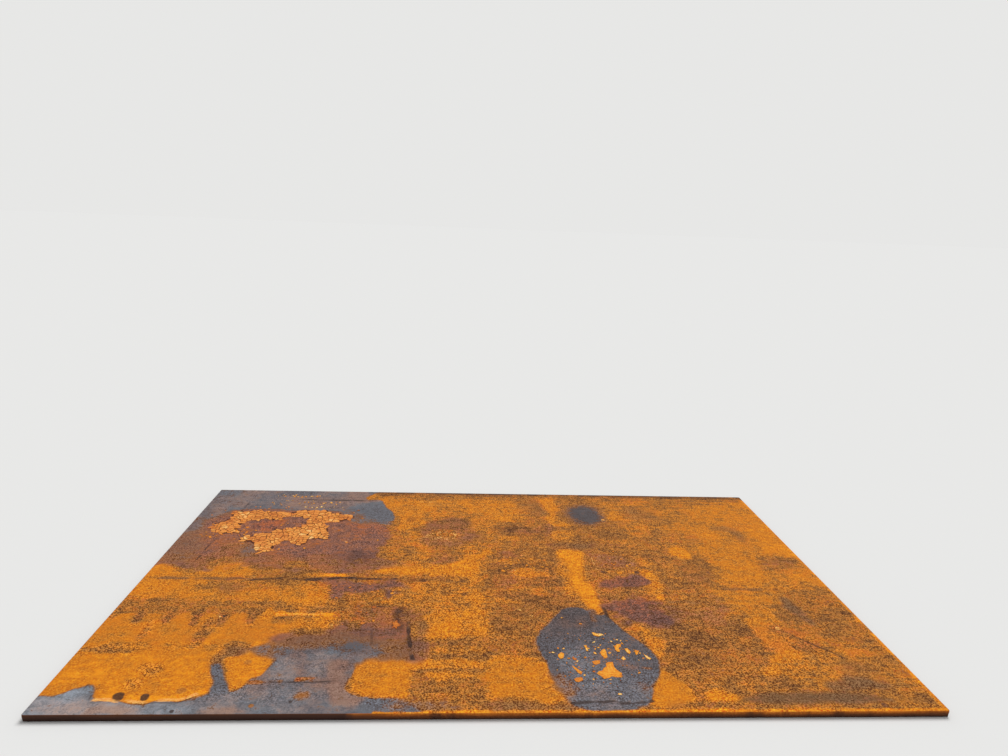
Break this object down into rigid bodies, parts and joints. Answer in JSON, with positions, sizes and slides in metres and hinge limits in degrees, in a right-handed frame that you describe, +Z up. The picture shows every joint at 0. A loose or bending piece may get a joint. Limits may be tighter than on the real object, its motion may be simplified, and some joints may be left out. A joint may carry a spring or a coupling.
{
  "type": "steel plate",
  "caption": "Flat rectangular rolled steel plate with sheared edges, its mill scale patchy and weathered to orange rust.",
  "frame": {"origin": "centre of the underside, in the plane that the plate lies on", "axes": "+X along the plate's length, +Y along its width, +Z up through its thickness"},
  "size_m": [2.4384, 1.524, 0.0191],
  "materials": {
    "rusted_steel": "hot-rolled mill scale over which orange and brown rust has grown, dull and rough"
  },
  "bodies": {
    "root": {"steel_plate": "rusted_steel"}
  },
  "joints": []
}
